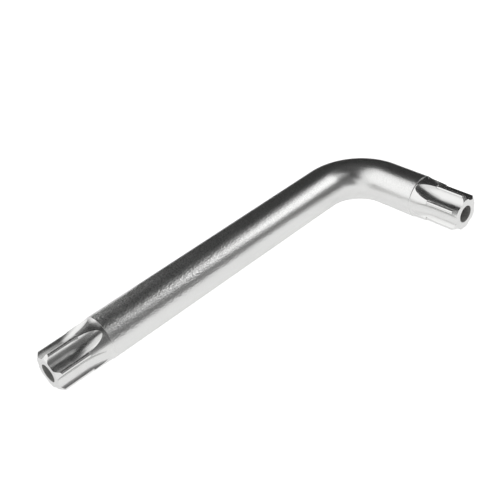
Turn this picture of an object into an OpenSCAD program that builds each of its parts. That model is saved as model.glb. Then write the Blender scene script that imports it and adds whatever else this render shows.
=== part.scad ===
// Star key with pin holes. One round bar is bent once into an L, and each end is
// formed into a six-lobed drive with a hole for a security pin.
// The key lies flat. +X runs along the long arm towards the bend, +Z is up, and the
// origin is on the surface under it, below the middle of its outline.

/* [Bar] */
// Diameter of the round bar
bar_d = 12; // [11.6:0.1:16]
// Length of the long arm, from its end face to the outside of the bend
long_len = 115; // [70:1:300]
// Length of the short arm, from its end face to the outside of the bend
short_len = 46; // [42:0.5:150]
// Radius of the bend, to the middle of the bar
bend_r = 13.2; // [8.5:0.1:17]

/* [Star drive] */
// Width of the star across opposite lobes
star_across = 11.35; // [10.5:0.05:11.5]
// Width of the star across opposite flutes
star_root = 8.05; // [7:0.05:8.8]
// Radius of the round back of a lobe
lobe_r = 0.6; // [0.4:0.05:0.8]
// Depth that a flute bites into the backs beside it, which leaves a crisp edge there
lobe_bite = 0.03; // [0.01:0.005:0.05]
// Length of a flute at its full depth, from the end face
flute_len = 6.3; // [4:0.1:12]
// Length of the arc on which the floor of a flute then climbs out of the shoulder
runout_len = 7.9; // [5.5:0.1:12]
// Turn of the long arm's star, from a lobe straight up towards the inside of the bend
long_turn = 6.5; // [-30:0.5:30]
// Turn of the short arm's star, from a lobe straight up towards the inside of the bend
short_turn = 0.5; // [-30:0.5:30]

/* [Shoulder and end] */
// Length of the lobes, from the end face to the shoulder behind them
lobe_len = 9.2; // [6:0.1:12]
// Height that the shoulder stands proud of the lobes where it meets them
shoulder_lip = 0.1; // [0.02:0.01:0.15]
// Depth of the shoulder below the bar where the flutes end
shoulder_drop = 0.18; // [0.1:0.01:0.24]
// Height of the fine step where the bar stops
shoulder_step = 0.03; // [0.01:0.01:0.08]
// Length of the taper between the shoulder and the bar, on the long arm
long_taper = 0.95; // [0.2:0.05:3]
// Length of the taper between the shoulder and the bar, on the short arm
short_taper = 0.3; // [0.2:0.05:3]
// Radius of the flat end face inside the chamfer
face_r = 4.4; // [4.1:0.05:5]
// Length of the chamfer on the ends of the lobes
chamfer_len = 1.05; // [0.4:0.05:1.6]
// Diameter of the pin hole
pin_d = 4.9; // [2:0.1:6]
// Depth of the pin hole, to where the drill's point starts
pin_depth = 6; // [3:0.5:10]
// Angle of the drill's point
drill_angle = 118; // [90:1:140]

/* [Hidden] */
LOBES = 6;
PITCH = 360 / LOBES;
// Length that a cutter reaches past the face it cuts
EPS = 0.5;
// Angle that the arc of a flute runs past each of its ends
ARC_PAST = 2;
$fn = 72;

bar_r = bar_d / 2;
lobe_tip_r = star_across / 2;
root_r = star_root / 2;

// A flute flows out of the round backs of its two lobes: its radius is the one at which a
// circle that reaches down to the root touches both of them.
lobe_at = lobe_tip_r - lobe_r;
half_pitch_cos = cos(PITCH / 2);
touch_r = (lobe_at ^ 2 + root_r ^ 2 - 2 * lobe_at * root_r * half_pitch_cos - lobe_r ^ 2)
    / (2 * (lobe_r - root_r + lobe_at * half_pitch_cos));
flute_r = touch_r + lobe_bite;
flute_at = root_r + flute_r;

// The round core fills the space between the backs, out to the points where flutes touch them.
touch_angle = atan2(flute_at * sin(PITCH / 2), flute_at * half_pitch_cos - lobe_at);
core_r = norm([lobe_at + lobe_r * cos(touch_angle), lobe_r * sin(touch_angle)]);

// The floor of a flute climbs on an arc about a centre far outside the bar.
shoulder_r = bar_r - shoulder_drop;
rise = shoulder_r - root_r;
floor_r = (runout_len ^ 2 + rise ^ 2) / (2 * rise);
arc_r = floor_r - flute_r;
arc_angle = asin(runout_len / floor_r);
fluted_len = flute_len + runout_len;
long_tip = fluted_len + long_taper;
short_tip = fluted_len + short_taper;

// The two arms are measured here from the corner where their axes cross.
long_reach = long_len - bar_r;
short_reach = short_len - bar_r;
corner = [long_len / 2 - bar_r, short_len / 2 - bar_r, bar_r];

// Puts a shape at a distance along an arm, turned so that its +Z points away from the corner.
module along_long_arm(distance) {
    translate(corner - [distance, 0, 0]) rotate([0, -90, 0]) children();
}

module along_short_arm(distance) {
    translate(corner - [0, distance, 0]) rotate([0, 0, -90]) rotate([0, 90, 0]) children();
}

// A star is made with the middle of its end face on the origin and the bar behind it, along -Z.
// A flute is cut on the side of +X in two passes: straight in, then on an arc up and out. The arc
// runs a little past both of its ends, inside what is cut there and outside the bar.
module flute_straight() {
    translate([flute_at, 0, -flute_len]) cylinder(r = flute_r, h = flute_len + EPS);
}

module flute_arc() {
    translate([flute_at + arc_r, 0, -flute_len]) rotate([90, 0, 0]) rotate([0, 0, 180 - ARC_PAST])
        rotate_extrude(angle = arc_angle + 2 * ARC_PAST) translate([arc_r, 0]) circle(r = flute_r);
}

module at_each_flute() {
    for (i = [0 : LOBES - 1])
        rotate((i + 0.5) * PITCH) children();
}

// Everything outside the chamfered end of the lobes.
module chamfer_cutter() {
    slope = (lobe_tip_r - face_r) / chamfer_len;
    rotate_extrude() polygon([
        [face_r - slope * EPS, EPS],
        [lobe_tip_r + slope * EPS, -chamfer_len - EPS],
        [lobe_tip_r + slope * EPS, EPS],
    ]);
}

module pin_hole() {
    point_len = pin_d / 2 / tan(drill_angle / 2);
    translate([0, 0, -pin_depth]) cylinder(d = pin_d, h = pin_depth + EPS);
    translate([0, 0, -pin_depth - point_len]) cylinder(d1 = 0, d2 = pin_d, h = point_len);
}

// The turned end of the bar and the round backs of the lobes, before the flutes are cut.
module star_blank(tip_len) {
    rotate_extrude() polygon([
        [0, -tip_len],
        [bar_r - shoulder_step, -tip_len],
        [shoulder_r, -fluted_len],
        [lobe_tip_r + shoulder_lip, -lobe_len],
        [core_r, -lobe_len],
        [core_r, 0],
        [0, 0],
    ]);
    for (i = [0 : LOBES - 1])
        rotate(i * PITCH) translate([lobe_at, 0, -lobe_len - EPS]) cylinder(r = lobe_r, h = lobe_len + EPS);
}

// The blank with its end chamfered and drilled, and its flutes cut straight in.
module straight_cut_tip(tip_len) {
    difference() {
        star_blank(tip_len);
        at_each_flute() flute_straight();
        chamfer_cutter();
        pin_hole();
    }
}

// One formed end of the bar, back to the plane where the round bar stops.
module star_tip(tip_len) {
    difference() {
        straight_cut_tip(tip_len);
        at_each_flute() flute_arc();
    }
}

module long_arm() {
    color("silver") along_long_arm(bend_r) cylinder(r = bar_r, h = long_reach - long_tip - bend_r);
}

module bend() {
    color("silver") translate(corner - [bend_r, bend_r, 0])
        rotate_extrude(angle = 90) translate([bend_r, 0]) circle(r = bar_r);
}

module short_arm() {
    color("silver") along_short_arm(bend_r) cylinder(r = bar_r, h = short_reach - short_tip - bend_r);
}

module long_arm_star() {
    color("lightgray") along_long_arm(long_reach) rotate(-long_turn) star_tip(long_tip);
}

module short_arm_star() {
    color("lightgray") along_short_arm(short_reach) rotate(short_turn) star_tip(short_tip);
}

long_arm();
bend();
short_arm();
long_arm_star();
short_arm_star();
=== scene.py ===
# %% [markdown]
# # A star key with pin holes
# An L-key turns star screws that have a security pin in their socket. It is one steel bar,
# bent once, and each end is formed into a six-lobed star with a blind hole for the pin.
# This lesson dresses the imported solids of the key: it sweeps the satin bar, cuts the two
# bright stars as their maker would, and lights them on a pale table.

# %% Load the frame
import math

import bmesh
import bpy
from mathutils import Matrix, Vector


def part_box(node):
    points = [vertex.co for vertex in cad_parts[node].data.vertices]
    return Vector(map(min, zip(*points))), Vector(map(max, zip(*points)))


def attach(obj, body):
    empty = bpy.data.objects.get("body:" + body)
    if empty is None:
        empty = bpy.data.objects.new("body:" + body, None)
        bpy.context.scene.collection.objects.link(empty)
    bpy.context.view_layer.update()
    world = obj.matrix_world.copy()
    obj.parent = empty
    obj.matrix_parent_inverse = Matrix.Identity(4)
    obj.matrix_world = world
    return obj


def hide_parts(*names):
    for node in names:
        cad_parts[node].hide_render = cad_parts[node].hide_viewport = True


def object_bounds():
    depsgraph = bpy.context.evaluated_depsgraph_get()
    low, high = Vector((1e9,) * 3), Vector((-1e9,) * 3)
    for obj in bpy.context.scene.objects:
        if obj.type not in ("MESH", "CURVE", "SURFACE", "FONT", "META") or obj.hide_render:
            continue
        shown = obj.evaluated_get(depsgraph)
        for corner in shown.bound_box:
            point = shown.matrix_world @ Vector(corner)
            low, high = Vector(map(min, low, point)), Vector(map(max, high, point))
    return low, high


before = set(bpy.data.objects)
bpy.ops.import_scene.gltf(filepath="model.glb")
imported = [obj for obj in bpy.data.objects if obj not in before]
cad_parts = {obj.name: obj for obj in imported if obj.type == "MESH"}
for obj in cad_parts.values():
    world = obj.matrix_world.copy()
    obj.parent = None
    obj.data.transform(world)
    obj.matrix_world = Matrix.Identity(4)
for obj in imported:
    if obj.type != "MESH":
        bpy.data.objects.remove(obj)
cad_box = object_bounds()
scene = bpy.context.scene
scene.view_settings.view_transform = "Standard"
print("solids of the key:", ", ".join(sorted(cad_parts)))

# %% [markdown]
# ## Sizes of the bar
# Everything is in metres, in the frame of the solids, so the sizes of the bar can be read off
# their boxes instead of being written again. The corner is the point where the axes of
# the two arms would cross. Each star reaches from the middle of its end face back to the
# plane where the round bar stops.

# %% Read the bar's sizes off the solids
MM = 0.001

bar_r = (cad_box[1][2] - cad_box[0][2]) / 2
corner = Vector((cad_box[1][0] - bar_r, cad_box[1][1] - bar_r, bar_r))
bend_low, bend_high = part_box("bend")
bend_r = bend_high[0] - bend_low[0] - bar_r
bend_centre = corner - Vector((bend_r, bend_r, 0))
long_star_low, long_star_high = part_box("long_arm_star")
short_star_low, short_star_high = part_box("short_arm_star")
long_end = Vector((long_star_low[0], corner.y, corner.z))
short_end = Vector((corner.x, short_star_low[1], corner.z))
long_tip = long_star_high[0] - long_star_low[0]
short_tip = short_star_high[1] - short_star_low[1]
print(f"bar {2 * bar_r / MM:.2f} mm thick, bend {bend_r / MM:.2f} mm")
print(f"stars {long_tip / MM:.2f} mm and {short_tip / MM:.2f} mm long")

# %% [markdown]
# ## The camera
# The photograph looks down on the key from beyond the long arm's star, with a long lens that
# still shows some perspective. A constraint could aim it at the key, but would hold it level, and
# the photograph is rolled a little. The place and the turns were found by fitting the outline of
# the bar, so the camera is written as a place, a pan, a tilt and a roll.

# %% Place the camera
CAMERA_PLACE = (-107.98 * MM, -124.48 * MM, 137.85 * MM)
CAMERA_PAN = -39.3507
CAMERA_TILT_DOWN = 36.5831
CAMERA_ROLL = -8.3582
CAMERA_LENS = 59.4
CAMERA_SENSOR = 36
CAMERA_NEAR = 10 * MM


def turn(degrees, axis):
    """A rotation about X, Y or Z."""
    return Matrix.Rotation(math.radians(degrees), 4, axis)


camera = bpy.data.objects.new("camera", bpy.data.cameras.new("camera"))
scene.collection.objects.link(camera)
camera.data.sensor_width = CAMERA_SENSOR
camera.data.lens = CAMERA_LENS
camera.data.clip_start = CAMERA_NEAR
aim = turn(CAMERA_PAN, "Z") @ turn(90 - CAMERA_TILT_DOWN, "X") @ turn(CAMERA_ROLL, "Z")
camera.matrix_world = Matrix.Translation(CAMERA_PLACE) @ aim
scene.camera = camera
print("camera at", [round(c / MM) for c in CAMERA_PLACE], "mm")

# %% [markdown]
# ## The straight bar
# The bar was finished straight before it was bent, so its grain follows the bend. To draw that
# grain, every point of the key remembers where it lay on the straight bar: how far along it,
# how far to the outside of the later bend, and how high. A UV map could hold only two of these
# numbers, and a solid noise needs all three, so materials read them from an attribute.

# %% Find places on the straight bar
STRAIGHT_PLACE = "straight_place"


def unbent(point):
    """Where a point of the key lay on the straight bar, measured from the long arm's end."""
    straight = bend_centre.x - long_end.x
    height = point.z - corner.z
    if point.x < bend_centre.x:
        return Vector((point.x - long_end.x, point.y - corner.y, height))
    if point.y < bend_centre.y:
        bent = bend_r * math.radians(90)
        return Vector((straight + bent + bend_centre.y - point.y, point.x - corner.x, height))
    out = (point - bend_centre).to_2d()
    bent = bend_r * math.atan2(out.x, out.y)
    return Vector((straight + bent, out.length - bend_r, height))


def mark_straight_places(bm):
    """Writes the place on the straight bar to every vertex."""
    layer = bm.verts.layers.float_vector.new(STRAIGHT_PLACE)
    for vert in bm.verts:
        vert[layer] = unbent(vert.co)


print(f"the straight bar was {unbent(short_end).x / MM:.1f} mm long")

# %% [markdown]
# ## Nodes and colours
# All the finishes are procedural. One helper adds a node with its settings and links, and one
# function turns the sRGB hex colours, as a colour picker shows them, to the linear values that
# shaders work in.

# %% Make helpers for materials
MID_GREY = "#808080"


def add_node(tree, kind, inputs=None, **settings):
    """Adds a node, sets its properties, and links or sets its inputs by name or number."""
    node = tree.nodes.new(kind)
    for name, value in settings.items():
        setattr(node, name, value)
    for name, value in (inputs or {}).items():
        if isinstance(value, bpy.types.NodeSocket):
            tree.links.new(value, node.inputs[name])
        else:
            node.inputs[name].default_value = value
    return node


def linear(hex_colour):
    """An sRGB hex colour as linear red, green, blue and alpha."""
    parts = [int(hex_colour[i:i + 2], 16) / 255 for i in (1, 3, 5)]
    return [p / 12.92 if p <= 0.04045 else ((p + 0.055) / 1.055) ** 2.4 for p in parts] + [1]


def new_material(name):
    """A material with its tree and its Principled shader."""
    material = bpy.data.materials.new(name)
    material.use_nodes = True
    return material, material.node_tree, material.node_tree.nodes["Principled BSDF"]


print("mid grey in linear light:", round(linear(MID_GREY)[0], 3))

# %% [markdown]
# ## Satin-plated steel
# The bar is blasted with fine grit before it is plated, and plating only softens the pits. Lights
# smear into wide bands with a grainy edge. A noise on the straight bar bumps the surface for that,
# and a second one paints specks of lighter and darker tone on the upper side: painted glints and
# shade of the pits. Real pits are some 0.05 mm wide, less than a pixel, so both are drawn coarser.
# The dies that bend the bar rub it smooth, so the grain fades from the long arm towards the short one.
# A broad noise changes the roughness a little from place to place, as handling does.

# %% Make the satin plate
SATIN_COLOUR = "#DDDDDC"
# Seen along the surface, the plate is still a little darker than a perfect mirror.
GRAZING_COLOUR = "#EEEEEE"
SATIN_SMOOTH = 0.28
SATIN_ROUGH = 0.3
GRAIN_LEN = 0.55 * MM
GRAIN_WIDTH = 0.4 * MM
GRAIN_DEPTH = 0.024 * MM
# The grain fades over this stretch of the straight bar, to the share that the dies leave.
DIE_FROM = 40 * MM
DIE_TO = 105 * MM
DIE_LEFT = 0.28
# Specks of painted glint and shade set in above the middle of the bar and are strongest on its top.
GLINT_SPECK_WIDTH = 0.31 * MM
GLINT_SPECK_CONTRAST = 0.3
GLINT_SPECKS_FROM = 1.5 * MM
GLINT_SPECKS_TO = 6 * MM
HANDLING_WIDTH = 7 * MM
# Plain noise seldom leaves this range, so it is stretched to the ends that are asked for.
NOISE_LOW = 0.3
NOISE_HIGH = 0.7
NOISE_DETAIL = 0


def streaks(tree, length, width, low=0, high=1):
    """Noise in streaks of this length and width along the straight bar, from a low to a high end."""
    place = add_node(tree, "ShaderNodeAttribute", attribute_name=STRAIGHT_PLACE)
    stretch = add_node(tree, "ShaderNodeMapping", {
        "Vector": place.outputs["Vector"], "Scale": (1 / length, 1 / width, 1 / width)})
    noise = add_node(tree, "ShaderNodeTexNoise", {
        "Vector": stretch.outputs["Vector"], "Scale": 1, "Detail": NOISE_DETAIL})
    level = add_node(tree, "ShaderNodeMapRange", {
        "Value": noise.outputs["Fac"], "From Min": NOISE_LOW, "From Max": NOISE_HIGH,
        "To Min": low, "To Max": high})
    return level.outputs["Result"]


# Blasted steel under satin plating: soft bands of light with a fine grain in them.
satin_plate, tree, shader = new_material("satin_plated_blasted_steel")
place = add_node(tree, "ShaderNodeAttribute", attribute_name=STRAIGHT_PLACE)
parts = add_node(tree, "ShaderNodeSeparateXYZ", {"Vector": place.outputs["Vector"]})
grain_left = add_node(tree, "ShaderNodeMapRange", {
    "Value": parts.outputs["X"], "From Min": DIE_FROM, "From Max": DIE_TO,
    "To Min": 1, "To Max": DIE_LEFT})
bump = add_node(tree, "ShaderNodeBump", {
    "Height": streaks(tree, GRAIN_LEN, GRAIN_WIDTH), "Strength": grain_left.outputs["Result"],
    "Distance": GRAIN_DEPTH})
tree.links.new(bump.outputs["Normal"], shader.inputs["Normal"])
handling = streaks(tree, HANDLING_WIDTH, HANDLING_WIDTH, SATIN_SMOOTH, SATIN_ROUGH)
tree.links.new(handling, shader.inputs["Roughness"])
# Painted glints and shade: the specks lighten and darken the base colour, most on the bar's top.
glints_on_top = add_node(tree, "ShaderNodeMapRange", {
    "Value": parts.outputs["Z"], "From Min": GLINT_SPECKS_FROM, "From Max": GLINT_SPECKS_TO,
    "To Max": grain_left.outputs["Result"]})
painted_glints = streaks(tree, GLINT_SPECK_WIDTH, GLINT_SPECK_WIDTH, -GLINT_SPECK_CONTRAST, GLINT_SPECK_CONTRAST)
glint_tone = add_node(tree, "ShaderNodeMath", {0: painted_glints, 1: glints_on_top.outputs["Result"], 2: 1},
                operation="MULTIPLY_ADD")
colour = add_node(tree, "ShaderNodeVectorMath", {
    "Vector": linear(SATIN_COLOUR)[:3], "Scale": glint_tone.outputs[0]}, operation="SCALE")
tree.links.new(colour.outputs["Vector"], shader.inputs["Base Color"])
shader.inputs["Specular Tint"].default_value = linear(GRAZING_COLOUR)
shader.inputs["Metallic"].default_value = 1
print("made", satin_plate.name)

# %% [markdown]
# ## Bright-plated steel
# The stars are pressed and cut smooth before plating, so they mirror the studio more sharply
# than the bar does. The pressing leaves shallow streaks along the flutes. The noise that grains the
# bar makes these too, stretched along it. Real streaks are finer than a pixel, so they are drawn wider.

# %% Make the bright plate
BRIGHT_COLOUR = "#DBDBDA"
BRIGHT_SMOOTH = 0.21
BRIGHT_ROUGH = 0.27
PRESSED_LEN = 2.4 * MM
PRESSED_WIDTH = 0.35 * MM
PRESSED_DEPTH = 0.0024 * MM

# Pressed steel under bright plating: clear reflections with a slight haze and faint streaks.
bright_plate, tree, shader = new_material("bright_plated_pressed_steel")
bump = add_node(tree, "ShaderNodeBump", {
    "Height": streaks(tree, PRESSED_LEN, PRESSED_WIDTH), "Strength": 1, "Distance": PRESSED_DEPTH})
tree.links.new(bump.outputs["Normal"], shader.inputs["Normal"])
haze = streaks(tree, PRESSED_LEN, PRESSED_LEN, BRIGHT_SMOOTH, BRIGHT_ROUGH)
tree.links.new(haze, shader.inputs["Roughness"])
shader.inputs["Base Color"].default_value = linear(BRIGHT_COLOUR)
shader.inputs["Specular Tint"].default_value = linear(GRAZING_COLOUR)
shader.inputs["Metallic"].default_value = 1
print("made", bright_plate.name)

# %% [markdown]
# ## Drilled steel
# Plating hardly reaches into a blind hole, so the walls of the pin holes stay dull and grey. The
# drill leaves fine rings. Cut into the mesh, they would take many faces that hardly show, so they are
# waves along the hole in its material. Real rings are some 0.1 mm apart, too fine to show, so they are
# drawn further apart.

# %% Make the drilled steel
HOLE_COLOUR = "#BABAB8"
HOLE_METALLIC = 0.4
HOLE_SMOOTH = 0.5
HOLE_ROUGH = 0.65
RING_PITCH = 0.4 * MM
RING_DEPTH = 0.02 * MM
# At scale 1 the wave texture runs through this many radians per metre.
WAVE_PHASE = 20

# Bare drilled steel with a film of oil and dust: a dull, even grey with faint rings.
drilled_steel, tree, shader = new_material("oily_drilled_steel")
place = add_node(tree, "ShaderNodeAttribute", attribute_name=STRAIGHT_PLACE)
rings = add_node(tree, "ShaderNodeTexWave", {
    "Vector": place.outputs["Vector"], "Scale": 2 * math.pi / WAVE_PHASE / RING_PITCH},
    wave_type="BANDS", bands_direction="X")
bump = add_node(tree, "ShaderNodeBump", {
    "Height": rings.outputs["Fac"], "Strength": 1, "Distance": RING_DEPTH})
tree.links.new(bump.outputs["Normal"], shader.inputs["Normal"])
film = streaks(tree, RING_PITCH, RING_PITCH, HOLE_SMOOTH, HOLE_ROUGH)
tree.links.new(film, shader.inputs["Roughness"])
shader.inputs["Base Color"].default_value = linear(HOLE_COLOUR)
shader.inputs["Metallic"].default_value = HOLE_METALLIC
print("made", drilled_steel.name)

# %% [markdown]
# ## The bar
# The maker bends a straight bar round a former. A curve with a round bevel could give that form, but
# a bmesh keeps the rings at both ends at hand, to be closed and softened. So a ring of edges is swept:
# straight along the long arm, round the bend, and straight along the short arm. Spin does all three,
# because with no angle it moves the ring in steps along a line.

# %% Sweep the bar
BAR_SIDES = 128
BEND_STEPS = 48
STRAIGHT_STEP = 4 * MM
BAR_EDGE = 0.03 * MM
EDGE_SEGMENTS = 2
SHARP_ANGLE = 7


def put_in_scene(bm, name):
    """The finished bmesh as an object at the origin."""
    mesh = bpy.data.meshes.new(name)
    bm.to_mesh(mesh)
    bm.free()
    obj = bpy.data.objects.new(name, mesh)
    scene.collection.objects.link(obj)
    return obj


def only(kind, geometry):
    """The vertices, edges or faces among what an operator gave back."""
    return [g for g in geometry if isinstance(g, kind)]


def sweep_straight(bm, ring, run):
    """Sweeps a ring of edges along a vector and gives back the ring at its end."""
    steps = max(1, round(run.length / STRAIGHT_STEP))
    swept = bmesh.ops.spin(bm, geom=ring, cent=(0, 0, 0), axis=(0, 0, 1), angle=0,
                           dvec=run / steps, steps=steps)
    return only(bmesh.types.BMEdge, swept["geom_last"])


bm = bmesh.new()
long_bar_end = long_end + Vector((long_tip, 0, 0))
short_bar_end = short_end + Vector((0, short_tip, 0))
stand = Matrix.Translation(long_bar_end) @ turn(90, "Y")
bmesh.ops.create_circle(bm, segments=BAR_SIDES, radius=bar_r, matrix=stand)
first_ring = list(bm.edges)
ring = sweep_straight(bm, first_ring, Vector((bend_centre.x - long_bar_end.x, 0, 0)))
bent = bmesh.ops.spin(bm, geom=ring, cent=bend_centre, axis=(0, 0, 1), angle=math.radians(-90),
                      steps=BEND_STEPS)
ring = only(bmesh.types.BMEdge, bent["geom_last"])
last_ring = sweep_straight(bm, ring, Vector((0, short_bar_end.y - bend_centre.y, 0)))
bmesh.ops.edgeloop_fill(bm, edges=first_ring)
bmesh.ops.edgeloop_fill(bm, edges=last_ring)
bmesh.ops.recalc_face_normals(bm, faces=bm.faces)
# The swept faces have four corners and are smooth. The two caps stay flat.
for face in bm.faces:
    face.smooth = len(face.verts) == 4
bmesh.ops.bevel(bm, geom=first_ring + last_ring, offset=BAR_EDGE, offset_type="OFFSET",
                affect="EDGES", segments=EDGE_SEGMENTS, profile=0.5, material=-1)
mark_straight_places(bm)
bar = put_in_scene(bm, "bar")
bar.data.set_sharp_from_angle(angle=math.radians(SHARP_ANGLE))
bar.data.materials.append(satin_plate)
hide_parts("long_arm", "bend", "short_arm")
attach(bar, "root")
print("bar:", len(bar.data.polygons), "faces")

# %% [markdown]
# ## The star's blank
# Each star starts as a turned end: a short taper that eases down from the bar, a shoulder, and a
# round core. Cones could be stacked for it, but a profile that is spun about its axis, as on a lathe,
# has no seams. The middle of the finished end face is on the origin and the bar lies behind it,
# along -Z. The blank still sticks out in front of the end face, so that every later cut goes clean
# through. The solids have straight cones for tapers and a higher lip behind the lobes. Here the taper
# is a curve and the lip is lower, because the light shows them softer than that.

# %% Turn the blank
STAR_ACROSS = 11.35 * MM
STAR_ROOT = 8.05 * MM
LOBES = 6
PITCH = 360 / LOBES
LOBE_R = 0.6 * MM
LOBE_BITE = 0.03 * MM
LOBE_LEN = 9.2 * MM
SHOULDER_LIP = 0.04 * MM
SHOULDER_DROP = 0.18 * MM
SHOULDER_STEP = 0.03 * MM
SPARE = 1 * MM
TURNED_SIDES = 144
EASE_STEPS = 6
SAME_POINT = 0.0005 * MM

lobe_at = STAR_ACROSS / 2 - LOBE_R
root_r = STAR_ROOT / 2
half_pitch = math.radians(PITCH / 2)
touch_r = ((lobe_at ** 2 + root_r ** 2 - 2 * lobe_at * root_r * math.cos(half_pitch) - LOBE_R ** 2)
           / (2 * (LOBE_R - root_r + lobe_at * math.cos(half_pitch))))
flute_r = touch_r + LOBE_BITE
flute_at = root_r + flute_r
touch_angle = math.atan2(flute_at * math.sin(half_pitch), flute_at * math.cos(half_pitch) - lobe_at)
core_r = math.hypot(lobe_at + LOBE_R * math.cos(touch_angle), LOBE_R * math.sin(touch_angle))
shoulder_r = bar_r - SHOULDER_DROP


def turned(profile):
    """Spins a profile of radius and height about Z into a closed solid."""
    bm = bmesh.new()
    verts = [bm.verts.new((r, 0, z)) for r, z in profile]
    for a, b in zip(verts, verts[1:]):
        bm.edges.new((a, b))
    bmesh.ops.spin(bm, geom=bm.verts[:] + bm.edges[:], cent=(0, 0, 0), axis=(0, 0, 1),
                   angle=math.radians(360), steps=TURNED_SIDES, use_merge=True)
    bmesh.ops.remove_doubles(bm, verts=bm.verts, dist=SAME_POINT)
    bmesh.ops.recalc_face_normals(bm, faces=bm.faces)
    return bm


def blank(tip_len, taper):
    """The turned end of the bar, before its lobes and flutes."""
    drop = SHOULDER_DROP - SHOULDER_STEP
    # The curve starts as steep as a straight taper of this length, so it needs twice the length.
    shares = [i / EASE_STEPS for i in range(EASE_STEPS + 1)]
    return turned([
        (0, -tip_len),
        *((shoulder_r + drop * (1 - share) ** 2, 2 * taper * share - tip_len) for share in shares),
        (STAR_ACROSS / 2 + SHOULDER_LIP, -LOBE_LEN),
        (core_r, -LOBE_LEN),
        (core_r, SPARE),
        (0, SPARE),
    ])


print(f"core {2 * core_r / MM:.2f} mm thick, flutes of {flute_r / MM:.2f} mm radius")

# %% [markdown]
# ## The backs of the lobes
# The six lobes have narrow round backs. The outline of the whole star could be drawn point by point.
# Instead each back is a slim rod along the core and each flute is a cut, as in the solids, so that
# both have the same star.

# %% Make the lobe rods
ROD_SIDES = 96
# Every tool reaches past the end face by a length of its own, so no two faces lie in one plane.
ROD_PAST = 0.5 * MM


def lobe_rods():
    """Six rods round the core, from inside the shoulder to past the end face."""
    bm = bmesh.new()
    low = -LOBE_LEN - ROD_PAST
    high = ROD_PAST
    for i in range(LOBES):
        middle = Matrix.Translation((lobe_at, 0, (low + high) / 2))
        bmesh.ops.create_cone(bm, cap_ends=True, segments=ROD_SIDES, radius1=LOBE_R, radius2=LOBE_R,
                              depth=high - low, matrix=turn(i * PITCH, "Z") @ middle)
    return bm


print(LOBES, "lobe rods,", round(2 * LOBE_R / MM, 2), "mm thick")

# %% [markdown]
# ## The flutes
# A flute is what a round-nosed cutter leaves: it runs straight in along the star, then climbs out
# through the shoulder on a wide arc, which leaves the blunt arches. Shaped by hand, the arches would
# be guesswork. A cutter on the real path leaves them by itself. Its path is a disc that is extruded
# along the straight part and spun along the arc, a little past its end.

# %% Make the flute cutters
FLUTE_LEN = 6.3 * MM
FLUTE_SIDES = 160
FLUTE_PAST = 2 * MM
RUNOUT_LEN = 7.9 * MM
ARC_STEPS = 48
ARC_PAST = 4

rise = shoulder_r - root_r
floor_r = (RUNOUT_LEN ** 2 + rise ** 2) / (2 * rise)
arc_angle = math.degrees(math.asin(RUNOUT_LEN / floor_r))
arc_centre = Vector((root_r + floor_r, 0, -FLUTE_LEN))


def flute_cutters():
    """Six swept cutters, each with its floor towards the axis."""
    bm = bmesh.new()
    start = Matrix.Translation((flute_at, 0, FLUTE_PAST))
    bmesh.ops.create_circle(bm, cap_ends=True, segments=FLUTE_SIDES, radius=flute_r, matrix=start)
    made = bmesh.ops.extrude_face_region(bm, geom=bm.faces[:])["geom"]
    bmesh.ops.translate(bm, verts=only(bmesh.types.BMVert, made), vec=(0, 0, -FLUTE_LEN - FLUTE_PAST))
    disc = only(bmesh.types.BMFace, made)
    bmesh.ops.spin(bm, geom=disc, cent=arc_centre, axis=(0, -1, 0),
                   angle=math.radians(arc_angle + ARC_PAST), steps=ARC_STEPS)
    bmesh.ops.delete(bm, geom=disc, context="FACES_ONLY")
    bmesh.ops.remove_doubles(bm, verts=bm.verts, dist=SAME_POINT)
    bmesh.ops.recalc_face_normals(bm, faces=bm.faces)
    bmesh.ops.rotate(bm, verts=bm.verts, matrix=turn(PITCH / 2, "Z").to_3x3())
    bmesh.ops.spin(bm, geom=bm.verts[:] + bm.edges[:] + bm.faces[:], cent=(0, 0, 0), axis=(0, 0, 1),
                   angle=math.radians(360 - PITCH), steps=LOBES - 1, use_duplicate=True)
    return bm


print(f"each flute climbs out by {arc_angle:.1f} degrees on a radius of {floor_r / MM:.1f} mm")

# %% [markdown]
# ## The end
# The last tools face the end, chamfer the lobes and drill the pin hole with its pointed floor.
# All three are round about the same axis, so one lathe profile takes everything away at once.

# %% Make the end cutter
FACE_R = 4.4 * MM
CHAMFER_LEN = 1.05 * MM
PIN_R = 2.45 * MM
PIN_DEPTH = 6 * MM
DRILL_ANGLE = 118
END_PAST = 3 * MM


def end_cutter():
    """Everything in front of the finished end, and the drill's hole."""
    point_len = PIN_R / math.tan(math.radians(DRILL_ANGLE / 2))
    slope = (STAR_ACROSS / 2 - FACE_R) / CHAMFER_LEN
    reach = CHAMFER_LEN + SPARE
    return turned([
        (0, -PIN_DEPTH - point_len),
        (PIN_R, -PIN_DEPTH),
        (PIN_R, 0),
        (FACE_R, 0),
        (FACE_R + slope * reach, -reach),
        (FACE_R + slope * reach, END_PAST),
        (0, END_PAST),
    ])


print(f"pin hole {2 * PIN_R / MM:.2f} mm wide and {PIN_DEPTH / MM:.1f} mm deep")

# %% [markdown]
# ## Cutting the stars
# Boolean modifiers join the rods to the blank and take the flutes and the end away, in the order
# of the real cuts. The result is kept as a plain mesh, so that each star is one closed piece, and
# the tools are thrown away. Each star is turned a little about its axis, as the bar happened to lie
# in the press.

# %% Cut and place the stars
LONG_TAPER = 0.95 * MM
SHORT_TAPER = 0.06 * MM
LONG_TURN = 6.5
SHORT_TURN = 0.5
FLAT_NORMAL = 0.99


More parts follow.
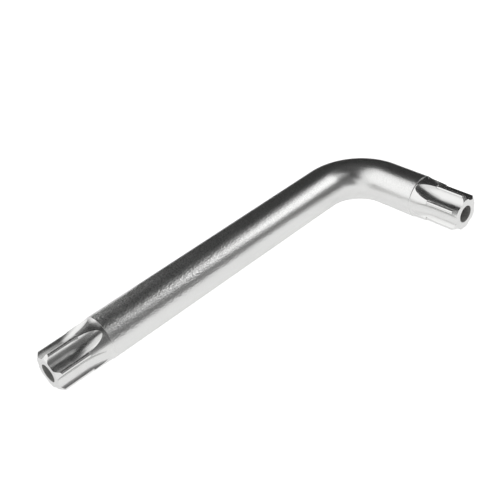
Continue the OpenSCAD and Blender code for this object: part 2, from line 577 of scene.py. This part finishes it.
def cut_star(name, tip_len, taper, place):
    """One finished star, moved to its end of the bar."""
    star = put_in_scene(blank(tip_len, taper), name)
    steps = [
        ("rods", lobe_rods(), "UNION"),
        ("flutes", flute_cutters(), "DIFFERENCE"),
        ("end", end_cutter(), "DIFFERENCE"),
    ]
    tools = []
    for label, tool, operation in steps:
        tools.append(put_in_scene(tool, name + "_" + label))
        cut = star.modifiers.new(label, "BOOLEAN")
        cut.operation = operation
        cut.solver = "EXACT"
        cut.object = tools[-1]
    depsgraph = bpy.context.evaluated_depsgraph_get()
    solid = bpy.data.meshes.new_from_object(star.evaluated_get(depsgraph))
    star.modifiers.clear()
    for tool in tools:
        bpy.data.objects.remove(tool)
    bm = bmesh.new()
    bm.from_mesh(solid)
    bmesh.ops.remove_doubles(bm, verts=bm.verts, dist=SAME_POINT)
    # The hole gets the second material. The end face is a ring, so its middle can lie in the hole
    # too, but it faces straight out.
    for face in bm.faces:
        face.smooth = True
        middle = face.calc_center_median()
        in_hole = math.hypot(middle.x, middle.y) < PIN_R and middle.z > -LOBE_LEN
        face.material_index = 1 if in_hole and face.normal.z < FLAT_NORMAL else 0
    bmesh.ops.transform(bm, matrix=place, verts=bm.verts)
    mark_straight_places(bm)
    open_edges = sum(not e.is_manifold for e in bm.edges)
    bm.to_mesh(star.data)
    bm.free()
    star.data.set_sharp_from_angle(angle=math.radians(SHARP_ANGLE))
    star.data.materials.append(bright_plate)
    star.data.materials.append(drilled_steel)
    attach(star, "root")
    print(name, len(star.data.polygons), "faces,", open_edges, "open edges")
    return star


long_place = Matrix.Translation(long_end) @ turn(-90, "Y") @ turn(-LONG_TURN, "Z")
short_place = Matrix.Translation(short_end) @ turn(-90, "Z") @ turn(90, "Y") @ turn(SHORT_TURN, "Z")
long_star = cut_star("long_star", long_tip, LONG_TAPER, long_place)
short_star = cut_star("short_star", short_tip, SHORT_TAPER, short_place)
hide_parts("long_arm_star")
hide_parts("short_arm_star")

# %% [markdown]
# ## A pale table
# The key lies on a white table that glows for the camera and in the metal, so the background is
# white without more light on the key. The camera sees it a little brighter than the metal does,
# which keeps it an even white close to the key. Its own colour takes the soft shadow.

# %% Lay the table
WHITE = "#FFFFFF"
TABLE_SIZE = 1500 * MM
TABLE_COLOUR = "#E6E6E6"
TABLE_ROUGHNESS = 0.9
TABLE_GLOW = 0.71
CAMERA_LIFT = 0.08


def seen_directly(tree):
    """1 for camera, glossy and transmission rays, and 0 for light that spreads between surfaces."""
    path = add_node(tree, "ShaderNodeLightPath")
    glossy = add_node(tree, "ShaderNodeMath", {
        0: path.outputs["Is Camera Ray"], 1: path.outputs["Is Glossy Ray"]}, operation="ADD")
    seen = add_node(tree, "ShaderNodeMath", {
        0: glossy.outputs[0], 1: path.outputs["Is Transmission Ray"]}, operation="ADD", use_clamp=True)
    return seen.outputs[0]


bm = bmesh.new()
bmesh.ops.create_grid(bm, x_segments=1, y_segments=1, size=TABLE_SIZE)
table = put_in_scene(bm, "table")
table_top, tree, shader = new_material("white_painted_table")
path = add_node(tree, "ShaderNodeLightPath")
lift = add_node(tree, "ShaderNodeMath", {
    0: path.outputs["Is Camera Ray"], 1: CAMERA_LIFT}, operation="MULTIPLY")
glow = add_node(tree, "ShaderNodeMath", {
    0: seen_directly(tree), 1: TABLE_GLOW, 2: lift.outputs[0]}, operation="MULTIPLY_ADD")
tree.links.new(glow.outputs[0], shader.inputs["Emission Strength"])
shader.inputs["Emission Color"].default_value = linear(WHITE)
shader.inputs["Base Color"].default_value = linear(TABLE_COLOUR)
shader.inputs["Roughness"].default_value = TABLE_ROUGHNESS
shader.inputs["Specular IOR Level"].default_value = 0
table.data.materials.append(table_top)
print(f"table {2 * TABLE_SIZE / MM:.0f} mm wide")

# %% [markdown]
# ## Studio walls
# A metal key shows the room. Its bright flanks are the white wall on the camera's left. Its dark
# bands are a black curtain behind it, with a dim strip over the curtain's left edge, and a dim
# canopy overhead. The curtain on the camera's right is grey, and the one round the camera is paler
# and hangs clear of the table. The room is the white world, and the curtains are sheets that only
# reflections see. Flat ones would do, but a curved sheet is placed by the angles at which the key
# sees it.

# %% Hang the white room and the curtains
ROOM_FILL = 0.3
CURTAIN_FAR = 1000 * MM
CURTAIN_STEPS = 32
BLACK_GLOW = 0.034
DIM_GLOW = 0.043
GREY_GLOW = 0.12
PALE_GLOW = 0.15
BLACK_SIDES = (-48, 77.5)
EDGE_SIDES = (60, 77.5)
EDGE_FAR = 950 * MM
RIGHT_SIDES = (-82, -48)
CAMERA_SIDES = (-158, -82)
CAMERA_FOOT = 28
CURTAIN_TOP = 63
CAMERA_TOP = 58
CANOPY_SIDES = (-128, 84)
# Just short of straight up, where the sheet would close to a point.
CANOPY_TO = 89.9

room = bpy.data.worlds.new("white_room")
room.use_nodes = True
scene.world = room
tree = room.node_tree
strength = add_node(tree, "ShaderNodeMapRange", {
    "Value": seen_directly(tree), "To Min": ROOM_FILL, "To Max": 1})
tree.links.new(strength.outputs["Result"], tree.nodes["Background"].inputs["Strength"])
tree.nodes["Background"].inputs["Color"].default_value = linear(WHITE)


def glowing(name, strength):
    """A material that gives off an even light."""
    material = bpy.data.materials.new(name)
    material.use_nodes = True
    tree = material.node_tree
    tree.nodes.remove(tree.nodes["Principled BSDF"])
    light = add_node(tree, "ShaderNodeEmission", {"Strength": strength})
    tree.links.new(light.outputs["Emission"], tree.nodes["Material Output"].inputs["Surface"])
    return material


def hang(bm, name, material):
    """Puts a sheet in the studio that only reflections see."""
    sheet = put_in_scene(bm, name)
    sheet.data.materials.append(material)
    sheet.visible_camera = False
    sheet.visible_diffuse = False
    return sheet


def curved_sheet(azimuths, elevations, far):
    """A piece of a dome round the key, from one azimuth and elevation to another."""
    bm = bmesh.new()
    low, high = (math.radians(e) for e in elevations)
    bm.verts.new((far * math.cos(low), 0, far * math.sin(low)))
    bmesh.ops.spin(bm, geom=bm.verts[:], cent=(0, 0, 0), axis=(0, -1, 0), angle=high - low,
                   steps=CURTAIN_STEPS)
    bmesh.ops.rotate(bm, verts=bm.verts, matrix=turn(azimuths[0], "Z").to_3x3())
    bmesh.ops.spin(bm, geom=bm.verts[:] + bm.edges[:], cent=(0, 0, 0), axis=(0, 0, 1),
                   angle=math.radians(azimuths[1] - azimuths[0]), steps=CURTAIN_STEPS)
    return bm


black_cloth = glowing("black_cloth", BLACK_GLOW)
dim_cloth = glowing("dim_cloth", DIM_GLOW)
grey_cloth = glowing("grey_cloth", GREY_GLOW)
pale_cloth = glowing("pale_cloth", PALE_GLOW)
hang(curved_sheet(BLACK_SIDES, (0, CURTAIN_TOP), CURTAIN_FAR), "black_curtain", black_cloth)
hang(curved_sheet(EDGE_SIDES, (0, CURTAIN_TOP), EDGE_FAR), "dim_edge", dim_cloth)
hang(curved_sheet(RIGHT_SIDES, (0, CAMERA_TOP), CURTAIN_FAR), "grey_curtain", grey_cloth)
hang(curved_sheet(CAMERA_SIDES, (CAMERA_FOOT, CAMERA_TOP), CURTAIN_FAR), "pale_curtain", pale_cloth)
hang(curved_sheet(CANOPY_SIDES, (CURTAIN_TOP, CANOPY_TO), CURTAIN_FAR), "dim_canopy", dim_cloth)
print("hung the curtains and the canopy")

# %% [markdown]
# ## Cards
# A low black card stands close behind the bend. It keeps the white table out of the top rim of
# the bar, which gives the key its dark outline there. A paper card stands to the right. It is
# lit at its foot and fades upwards, and it fills the lower dark band of the long arm. A dim
# card lies overhead, low enough that the two stars see its edge at different angles.

# %% Stand the cards
CARD_GAP = 40 * MM
CARD_HIGH = 25 * MM
CARD_FROM = -10 * MM
CARD_TO = -40 * MM
PAPER_AT = -116 * MM
PAPER_FROM = -100 * MM
PAPER_TO = 160 * MM
PAPER_HIGH = 80 * MM
PAPER_FOOT = 0.42
PAPER_TOP = 0.17
PAPER_FADE = 42 * MM
OVERHEAD_HIGH = 280 * MM
OVERHEAD_CORNERS = [
    (-260 * MM, -195 * MM),
    (-20 * MM, -208 * MM),
    (234 * MM, 215 * MM),
    (150 * MM, 215 * MM),
]


def standing_card(points, height):
    """A card that stands on the table along these points."""
    bm = bmesh.new()
    verts = [bm.verts.new((x, y, 0)) for x, y in points]
    for a, b in zip(verts, verts[1:]):
        bm.edges.new((a, b))
    made = bmesh.ops.extrude_edge_only(bm, edges=bm.edges[:])["geom"]
    bmesh.ops.translate(bm, verts=only(bmesh.types.BMVert, made), vec=(0, 0, height))
    return bm


card_back = cad_box[1][1] + CARD_GAP
card_side = cad_box[1][0] + CARD_GAP
behind = [(CARD_FROM, card_back), (card_side, card_back), (card_side, CARD_TO)]
beside = [(PAPER_FROM, PAPER_AT), (PAPER_TO, PAPER_AT)]
faded_paper = glowing("faded_paper", PAPER_TOP)
tree = faded_paper.node_tree
place = add_node(tree, "ShaderNodeTexCoord")
height = add_node(tree, "ShaderNodeSeparateXYZ", {"Vector": place.outputs["Object"]})
fade = add_node(tree, "ShaderNodeMapRange", {
    "Value": height.outputs["Z"], "From Max": PAPER_FADE, "To Min": PAPER_FOOT, "To Max": PAPER_TOP})
tree.links.new(fade.outputs["Result"], tree.nodes["Emission"].inputs["Strength"])
black_card = hang(standing_card(behind, CARD_HIGH), "black_card", black_cloth)
paper_card = hang(standing_card(beside, PAPER_HIGH), "paper_card", faded_paper)
black_card.visible_shadow = False
paper_card.visible_shadow = False
bm = bmesh.new()
bm.faces.new([bm.verts.new((x, y, OVERHEAD_HIGH)) for x, y in OVERHEAD_CORNERS])
hang(bm, "overhead_card", dim_cloth)
print("put up the cards")

# %% [markdown]
# ## Softboxes
# Large softboxes give the bright bands: one on the left along the short arm, and one on the right
# along the long arm, with a dimmer baffle round it that softens its edge. They are area lamps, which
# light the key and also show in the metal.

# %% Hang the softboxes
SOFTBOX_FAR = 700 * MM
SOFTBOX_AIM = Vector((20 * MM, 10 * MM, 6 * MM))


def direction(azimuth, elevation):
    """A unit vector, with azimuth from +X towards +Y."""
    a, e = math.radians(azimuth), math.radians(elevation)
    return Vector((math.cos(a) * math.cos(e), math.sin(a) * math.cos(e), math.sin(e)))


def softbox(name, azimuth, elevation, width, height, brightness):
    """A rectangular lamp that faces the key. Brightness 1 looks as bright as white paper."""
    lamp = bpy.data.lights.new(name, "AREA")
    lamp.shape = "RECTANGLE"
    lamp.size = width
    lamp.size_y = height
    lamp.energy = brightness * math.pi * width * height
    obj = bpy.data.objects.new(name, lamp)
    scene.collection.objects.link(obj)
    towards = direction(azimuth, elevation)
    obj.location = towards * SOFTBOX_FAR + SOFTBOX_AIM
    obj.rotation_euler = towards.to_track_quat("Z", "Y").to_euler()
    obj.visible_camera = False


softbox("left_softbox", azimuth=125, elevation=33, width=1150 * MM, height=720 * MM, brightness=0.27)
softbox("right_softbox", azimuth=-29, elevation=38.5, width=530 * MM, height=347 * MM, brightness=1.3)
softbox("right_baffle", azimuth=-37.5, elevation=43, width=730 * MM, height=460 * MM, brightness=0.3)
print("hung", len(bpy.data.lights), "softboxes")
